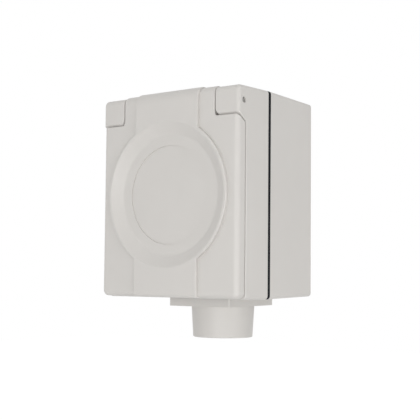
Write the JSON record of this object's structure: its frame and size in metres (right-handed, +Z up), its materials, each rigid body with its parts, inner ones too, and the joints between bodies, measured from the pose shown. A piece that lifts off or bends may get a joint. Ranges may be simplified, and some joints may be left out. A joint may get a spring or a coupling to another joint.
{
  "type": "perilex socket",
  "caption": "Surface-mounted splash-proof wall socket box with a hinged dished lid, a round plug well with flat slots and a cable spout underneath.",
  "frame": {"origin": "middle of the flat back face that lies on the wall", "axes": "+Y into the wall, so the lid faces -Y; +Z up; +X to the right seen from the front"},
  "size_m": [0.0908, 0.07, 0.1287],
  "materials": {
    "housing_grey": "satin moulded light grey",
    "seal_black": "matt",
    "face_grey": "satin moulded dark grey",
    "carrier_black": "matt moulded black",
    "contact_brass": "rolled strip",
    "terminal_brass": "machined",
    "screw_steel": "zinc plated",
    "pin_steel": "drawn rod",
    "spring_steel": "drawn wire"
  },
  "bodies": {
    "housing": {"back_box": "housing_grey", "cable_entry": "housing_grey", "entry_grommet": "seal_black", "box_gasket": "seal_black", "front_frame": "housing_grey", "cover_screws": "screw_steel", "hinge_pin": "pin_steel", "lid_spring": "spring_steel", "socket_face": "face_grey", "contact_carrier": "carrier_black", "contact_l1": "contact_brass", "contact_l2": "contact_brass", "contact_l3": "contact_brass", "contact_neutral": "contact_brass", "contact_earth": "contact_brass", "terminal_l1": "terminal_brass", "terminal_l2": "terminal_brass", "terminal_l3": "terminal_brass", "terminal_neutral": "terminal_brass", "terminal_earth": "terminal_brass", "terminal_screws": "screw_steel", "face_screws": "screw_steel", "insert_screws": "screw_steel"},
    "lid": {"lid": "housing_grey", "lid_gasket": "seal_black"}
  },
  "joints": [
    {"name": "lid_hinge", "type": "hinge", "parent": "housing", "child": "lid", "pos_m": [0, -0.0639, 0.0452], "axis": [-1, 0, 0], "range_deg": [0, 110], "stiffness_Nm_per_rad": 0.03, "springref_deg": -20.05, "deforming": ["lid_spring"]}
  ]
}
